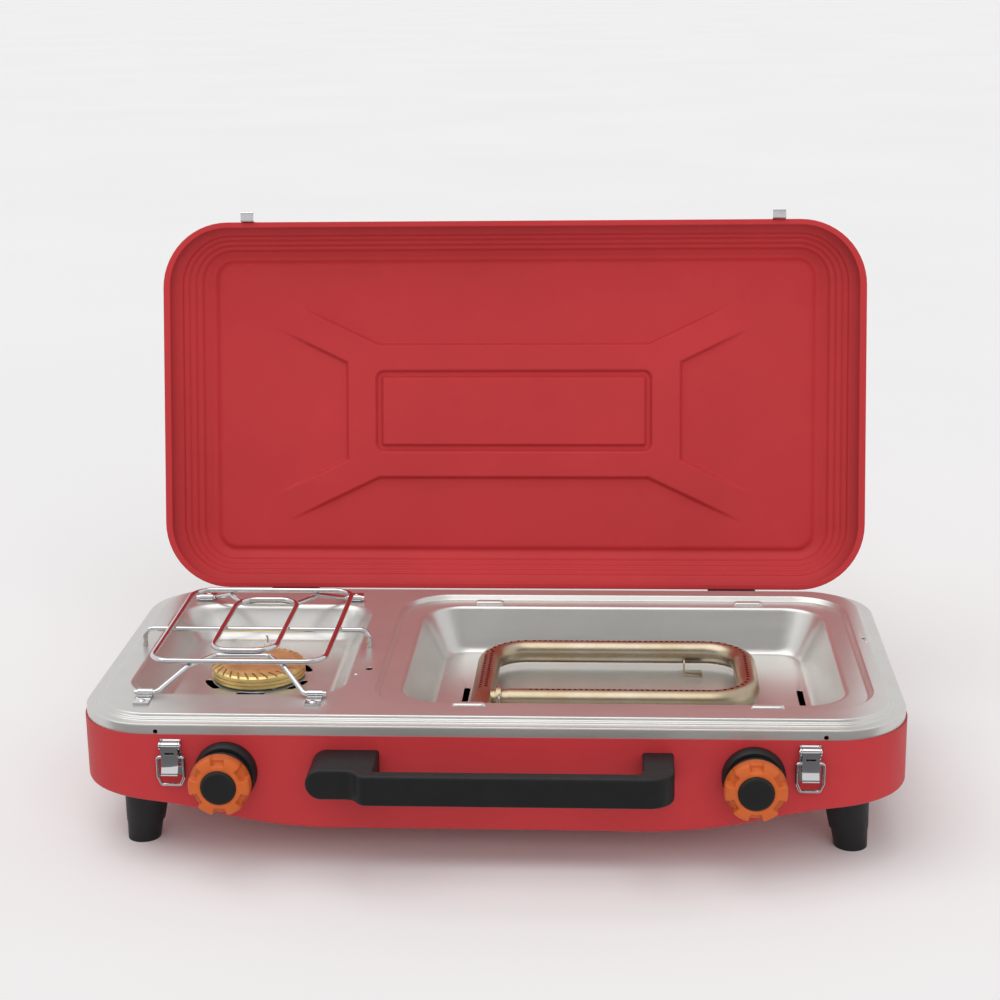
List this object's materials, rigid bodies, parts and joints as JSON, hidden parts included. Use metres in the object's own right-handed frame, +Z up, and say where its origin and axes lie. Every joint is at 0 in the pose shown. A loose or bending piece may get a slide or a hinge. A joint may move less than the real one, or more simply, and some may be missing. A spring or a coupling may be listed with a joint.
{
  "type": "two-burner camping stove",
  "caption": "Tabletop gas camping stove: pressed casing with hinged lid, round burner under a wire trivet, loop burner in a deep well, push-and-turn knobs, latches and carry handle.",
  "frame": {"origin": "on the table, under the middle of the casing", "axes": "+X to the user's right, +Y away from the user, +Z up"},
  "size_m": [0.6036, 0.4622, 0.4237],
  "materials": {
    "red_enamel": "gloss",
    "stainless": "satin",
    "chrome": "polished",
    "zinc_steel": "satin",
    "black_plastic": "matte",
    "orange_plastic": "satin",
    "brass": "machined",
    "cast_aluminium": "cast",
    "ceramic": "glazed",
    "lead_rubber": "matte"
  },
  "bodies": {
    "casing": {"casing_tray": "red_enamel", "feet": "black_plastic", "foot_screws": "zinc_steel", "foot_nuts": "zinc_steel", "deck_plate": "stainless", "deck_screws": "zinc_steel", "hinge_bases": "zinc_steel", "hinge_pins": "zinc_steel", "hinge_rivets": "zinc_steel", "latch_bases": "chrome", "latch_pins": "chrome", "latch_rivets": "chrome", "carry_handle": "black_plastic", "handle_screws": "zinc_steel", "knob_bezels": "black_plastic", "valve_nuts": "brass", "valve_left": "brass", "valve_right": "brass", "manifold_pipe": "brass", "gas_inlet": "brass", "inlet_nut": "brass", "left_jet": "brass", "loop_jet": "brass", "jet_bracket": "stainless", "feed_pipe": "brass", "burner_cup": "cast_aluminium", "cup_screws": "zinc_steel", "mixing_tube": "stainless", "burner_cap": "brass", "loop_tube": "stainless", "loop_collar": "stainless", "loop_bracket": "stainless", "electrode_ceramics": "ceramic", "electrode_tips": "zinc_steel", "ignition_leads": "lead_rubber", "igniters": "black_plastic", "trivet_outer_loop": "chrome", "trivet_inner_loop": "chrome", "trivet_leg_front": "chrome", "trivet_leg_rear": "chrome", "trivet_bar": "chrome", "trivet_clips": "chrome", "clip_rivets": "chrome"},
    "lid": {"lid_shell": "red_enamel", "lid_catches": "chrome", "hinge_leaves": "zinc_steel", "lid_rivets": "zinc_steel"},
    "lever_left": {"latch_lever_left": "chrome"},
    "lever_right": {"latch_lever_right": "chrome"},
    "bail_left": {"latch_bail_left": "chrome"},
    "bail_right": {"latch_bail_right": "chrome"},
    "thrust_left": {"thrust_ring_left": "zinc_steel"},
    "thrust_right": {"thrust_ring_right": "zinc_steel"},
    "knob_left": {"knob_core_left": "black_plastic", "knob_grip_left": "orange_plastic", "spindle_left": "brass"},
    "knob_right": {"knob_core_right": "black_plastic", "knob_grip_right": "orange_plastic", "spindle_right": "brass"}
  },
  "joints": [
    {"name": "lid_hinge", "type": "hinge", "parent": "casing", "child": "lid", "pos_m": [0, 0.16, 0.1054], "axis": [1, 0, 0], "range_deg": [0, 102]},
    {"name": "latch_left_lever", "type": "hinge", "parent": "casing", "child": "lever_left", "pos_m": [-0.226, -0.1614, 0.095], "axis": [-1, 0, 0], "range_deg": [0, 110]},
    {"name": "latch_left_bail", "type": "hinge", "parent": "lever_left", "child": "bail_left", "pos_m": [-0.226, -0.1614, 0.0864], "axis": [1, 0, 0], "range_deg": [-180, 0]},
    {"name": "knob_left_push", "type": "slide", "parent": "casing", "child": "thrust_left", "axis": [0, 1, 0], "range_m": [0, 0.003], "stiffness_N_per_m": 900, "springref_m": -0.002},
    {"name": "knob_left_turn", "type": "hinge", "parent": "thrust_left", "child": "knob_left", "pos_m": [-0.187, -0.17, 0.0745], "axis": [0, -1, 0], "range_deg": [0, 210]},
    {"name": "latch_right_lever", "type": "hinge", "parent": "casing", "child": "lever_right", "pos_m": [0.226, -0.1614, 0.095], "axis": [-1, 0, 0], "range_deg": [0, 110]},
    {"name": "latch_right_bail", "type": "hinge", "parent": "lever_right", "child": "bail_right", "pos_m": [0.226, -0.1614, 0.0864], "axis": [1, 0, 0], "range_deg": [-180, 0]},
    {"name": "knob_right_push", "type": "slide", "parent": "casing", "child": "thrust_right", "axis": [0, 1, 0], "range_m": [0, 0.003], "stiffness_N_per_m": 900, "springref_m": -0.002},
    {"name": "knob_right_turn", "type": "hinge", "parent": "thrust_right", "child": "knob_right", "pos_m": [0.187, -0.17, 0.0745], "axis": [0, -1, 0], "range_deg": [0, 210]}
  ]
}
